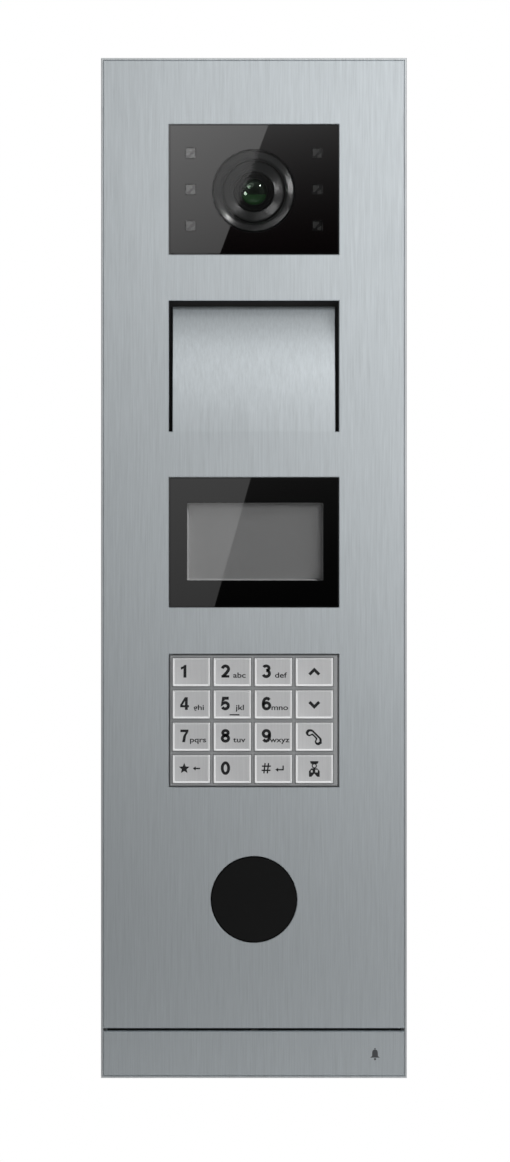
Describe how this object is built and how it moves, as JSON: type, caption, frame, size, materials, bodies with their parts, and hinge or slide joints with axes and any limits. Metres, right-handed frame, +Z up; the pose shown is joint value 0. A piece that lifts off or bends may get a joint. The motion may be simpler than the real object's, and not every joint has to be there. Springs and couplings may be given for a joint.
{
  "type": "door intercom panel",
  "caption": "Tall flush-mounted door intercom panel in brushed steel with camera, speech tongue, display, keypad and round reader.",
  "frame": {"origin": "middle of the panel on the wall's surface", "axes": "+Z up along the panel, +Y into the wall, +X to the right seen from the front"},
  "size_m": [0.125, 0.0604, 0.417],
  "materials": {
    "plate_steel": "vertically brushed stainless steel",
    "rim_steel": "brushed stainless steel, lengthways",
    "chassis_zinc": "black coated sheet steel",
    "fastener_steel": "zinc plated steel",
    "lock_steel": "stainless steel",
    "brass": "turned brass",
    "box_plastic": "dark grey moulded plastic",
    "housing_plastic": "black moulded plastic",
    "rubber": "black rubber",
    "silicone": "grey silicone",
    "pane": "clear moulded window",
    "circuit_board": "green circuit board",
    "black_board": "black circuit board",
    "led": "infrared lamp",
    "camera_black": "satin black",
    "lens": "coated lens",
    "cone_paper": "coated paper cone",
    "magnet": "ferrite",
    "microphone_can": "drawn aluminium can",
    "terminal_plastic": "green moulded plastic",
    "lead_plastic": "grey flat lead",
    "lcd": "unlit liquid crystal display",
    "bezel_metal": "grey coated grid",
    "key_steel": "satin steel with black printing",
    "reader_plastic": "fine-grained black plastic"
  },
  "bodies": {
    "wall_box": {"back_box": "box_plastic", "cable_grommets": "rubber", "lock_insert": "brass"},
    "front_panel": {"cover_frame": "rim_steel", "wall_gasket": "rubber", "front_plate": "plate_steel", "chassis": "chassis_zinc", "chassis_fasteners": "fastener_steel", "earth_terminal": "brass", "window_gaskets": "rubber", "link_leads": "lead_plastic", "camera_window": "pane", "camera_housing": "housing_plastic", "camera_board": "black_board", "ir_leds": "led", "camera_socket": "camera_black", "audio_housing": "housing_plastic", "speaker_frame": "fastener_steel", "speaker_cone": "cone_paper", "speaker_magnet": "magnet", "microphone": "microphone_can", "microphone_boot": "rubber", "main_board": "circuit_board", "terminal_block": "terminal_plastic", "display_window": "pane", "display_housing": "housing_plastic", "display_board": "circuit_board", "lcd_panel": "lcd", "keypad_bezel": "bezel_metal", "keypad_mat": "silicone", "keypad_board": "circuit_board", "keypad_housing": "housing_plastic", "reader_disc": "reader_plastic", "reader_board": "circuit_board", "reader_housing": "housing_plastic"},
    "end_strip": {"end_strip": "plate_steel", "strip_clips": "fastener_steel"},
    "lock_washer": {"lock_washer": "fastener_steel"},
    "lock_screw": {"lock_screw": "lock_steel"},
    "camera_yoke": {"camera_yoke": "camera_black"},
    "camera_ball": {"camera_ball": "camera_black", "lens_barrel": "camera_black", "lens_glass": "lens", "sensor_board": "circuit_board"},
    "key_1": {"key_1": "key_steel"},
    "key_2": {"key_2": "key_steel"},
    "key_3": {"key_3": "key_steel"},
    "key_up": {"key_up": "key_steel"},
    "key_4": {"key_4": "key_steel"},
    "key_5": {"key_5": "key_steel"},
    "key_6": {"key_6": "key_steel"},
    "key_down": {"key_down": "key_steel"},
    "key_7": {"key_7": "key_steel"},
    "key_8": {"key_8": "key_steel"},
    "key_9": {"key_9": "key_steel"},
    "key_call": {"key_call": "key_steel"},
    "key_star": {"key_star": "key_steel"},
    "key_0": {"key_0": "key_steel"},
    "key_hash": {"key_hash": "key_steel"},
    "key_guard": {"key_guard": "key_steel"}
  },
  "joints": [
    {"name": "front_pull_off", "type": "slide", "parent": "wall_box", "child": "front_panel", "axis": [0, -1, 0], "range_m": [0, 0.06]},
    {"name": "strip_pull_off", "type": "slide", "parent": "front_panel", "child": "end_strip", "axis": [0, -1, 0], "range_m": [0, 0.015]},
    {"name": "lock_turn", "type": "hinge", "parent": "lock_washer", "child": "lock_screw", "pos_m": [0, 0, -0.1932], "axis": [0, -1, 0], "range_deg": [0, 3757]},
    {"name": "lock_travel", "type": "slide", "parent": "front_panel", "child": "lock_washer", "axis": [0, -1, 0], "range_m": [0, 0.0073]},
    {"name": "camera_pan", "type": "hinge", "parent": "front_panel", "child": "camera_yoke", "pos_m": [0, -0.002, 0.1541], "axis": [0, 0, 1], "range_deg": [-12, 12]},
    {"name": "camera_tilt", "type": "hinge", "parent": "camera_yoke", "child": "camera_ball", "pos_m": [0, -0.002, 0.1541], "axis": [1, 0, 0], "range_deg": [-12, 12]},
    {"name": "key_1_press", "type": "slide", "parent": "front_panel", "child": "key_1", "axis": [0, 1, 0], "range_m": [0, 0.001], "stiffness_N_per_m": 1500},
    {"name": "key_2_press", "type": "slide", "parent": "front_panel", "child": "key_2", "axis": [0, 1, 0], "range_m": [0, 0.001], "stiffness_N_per_m": 1500},
    {"name": "key_3_press", "type": "slide", "parent": "front_panel", "child": "key_3", "axis": [0, 1, 0], "range_m": [0, 0.001], "stiffness_N_per_m": 1500},
    {"name": "key_up_press", "type": "slide", "parent": "front_panel", "child": "key_up", "axis": [0, 1, 0], "range_m": [0, 0.001], "stiffness_N_per_m": 1500},
    {"name": "key_4_press", "type": "slide", "parent": "front_panel", "child": "key_4", "axis": [0, 1, 0], "range_m": [0, 0.001], "stiffness_N_per_m": 1500},
    {"name": "key_5_press", "type": "slide", "parent": "front_panel", "child": "key_5", "axis": [0, 1, 0], "range_m": [0, 0.001], "stiffness_N_per_m": 1500},
    {"name": "key_6_press", "type": "slide", "parent": "front_panel", "child": "key_6", "axis": [0, 1, 0], "range_m": [0, 0.001], "stiffness_N_per_m": 1500},
    {"name": "key_down_press", "type": "slide", "parent": "front_panel", "child": "key_down", "axis": [0, 1, 0], "range_m": [0, 0.001], "stiffness_N_per_m": 1500},
    {"name": "key_7_press", "type": "slide", "parent": "front_panel", "child": "key_7", "axis": [0, 1, 0], "range_m": [0, 0.001], "stiffness_N_per_m": 1500},
    {"name": "key_8_press", "type": "slide", "parent": "front_panel", "child": "key_8", "axis": [0, 1, 0], "range_m": [0, 0.001], "stiffness_N_per_m": 1500},
    {"name": "key_9_press", "type": "slide", "parent": "front_panel", "child": "key_9", "axis": [0, 1, 0], "range_m": [0, 0.001], "stiffness_N_per_m": 1500},
    {"name": "key_call_press", "type": "slide", "parent": "front_panel", "child": "key_call", "axis": [0, 1, 0], "range_m": [0, 0.001], "stiffness_N_per_m": 1500},
    {"name": "key_star_press", "type": "slide", "parent": "front_panel", "child": "key_star", "axis": [0, 1, 0], "range_m": [0, 0.001], "stiffness_N_per_m": 1500},
    {"name": "key_0_press", "type": "slide", "parent": "front_panel", "child": "key_0", "axis": [0, 1, 0], "range_m": [0, 0.001], "stiffness_N_per_m": 1500},
    {"name": "key_hash_press", "type": "slide", "parent": "front_panel", "child": "key_hash", "axis": [0, 1, 0], "range_m": [0, 0.001], "stiffness_N_per_m": 1500},
    {"name": "key_guard_press", "type": "slide", "parent": "front_panel", "child": "key_guard", "axis": [0, 1, 0], "range_m": [0, 0.001], "stiffness_N_per_m": 1500}
  ],
  "couplings": [
    {"joint": "lock_turn", "follows": "lock_travel", "rad_per_m": 8976}
  ]
}
